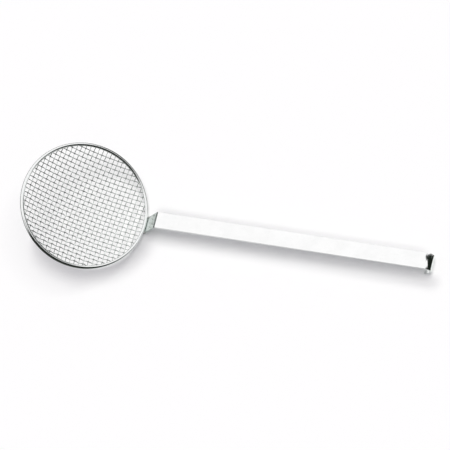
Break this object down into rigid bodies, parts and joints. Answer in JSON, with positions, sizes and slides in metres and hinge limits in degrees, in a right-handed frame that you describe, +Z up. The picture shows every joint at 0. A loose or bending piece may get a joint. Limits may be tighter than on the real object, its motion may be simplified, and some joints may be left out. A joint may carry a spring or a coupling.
{
  "type": "wire skimmer",
  "caption": "Wire skimmer: shallow round dish of woven steel wire in a rolled rim, on a flat bar handle with a hanging hook.",
  "frame": {"origin": "on the table, under the middle of the outer box, as the skimmer lies on its foot and hook with the dish open upwards", "axes": "+X along the handle from the head to the hook, +Z up, +Y across, along the hook's bend"},
  "size_m": [0.501, 0.16, 0.0851],
  "materials": {
    "rim_steel": "polished",
    "handle_steel": "polished",
    "weld_steel": "satin",
    "warp_steel": "bright drawn wire",
    "weft_steel": "bright drawn wire"
  },
  "bodies": {
    "root": {"rim_band": "rim_steel", "handle_bar": "handle_steel", "weld_bead_left": "weld_steel", "weld_bead_right": "weld_steel", "warp_wire_01": "warp_steel", "warp_wire_02": "warp_steel", "warp_wire_03": "warp_steel", "warp_wire_04": "warp_steel", "warp_wire_05": "warp_steel", "warp_wire_06": "warp_steel", "warp_wire_07": "warp_steel", "warp_wire_08": "warp_steel", "warp_wire_09": "warp_steel", "warp_wire_10": "warp_steel", "warp_wire_11": "warp_steel", "warp_wire_12": "warp_steel", "warp_wire_13": "warp_steel", "warp_wire_14": "warp_steel", "warp_wire_15": "warp_steel", "warp_wire_16": "warp_steel", "warp_wire_17": "warp_steel", "warp_wire_18": "warp_steel", "warp_wire_19": "warp_steel", "warp_wire_20": "warp_steel", "warp_wire_21": "warp_steel", "warp_wire_22": "warp_steel", "warp_wire_23": "warp_steel", "warp_wire_24": "warp_steel", "warp_wire_25": "warp_steel", "warp_wire_26": "warp_steel", "warp_wire_27": "warp_steel", "weft_wire_01": "weft_steel", "weft_wire_02": "weft_steel", "weft_wire_03": "weft_steel", "weft_wire_04": "weft_steel", "weft_wire_05": "weft_steel", "weft_wire_06": "weft_steel", "weft_wire_07": "weft_steel", "weft_wire_08": "weft_steel", "weft_wire_09": "weft_steel", "weft_wire_10": "weft_steel", "weft_wire_11": "weft_steel", "weft_wire_12": "weft_steel", "weft_wire_13": "weft_steel", "weft_wire_14": "weft_steel", "weft_wire_15": "weft_steel", "weft_wire_16": "weft_steel", "weft_wire_17": "weft_steel", "weft_wire_18": "weft_steel", "weft_wire_19": "weft_steel", "weft_wire_20": "weft_steel", "weft_wire_21": "weft_steel", "weft_wire_22": "weft_steel", "weft_wire_23": "weft_steel", "weft_wire_24": "weft_steel", "weft_wire_25": "weft_steel", "weft_wire_26": "weft_steel", "weft_wire_27": "weft_steel"}
  },
  "joints": []
}
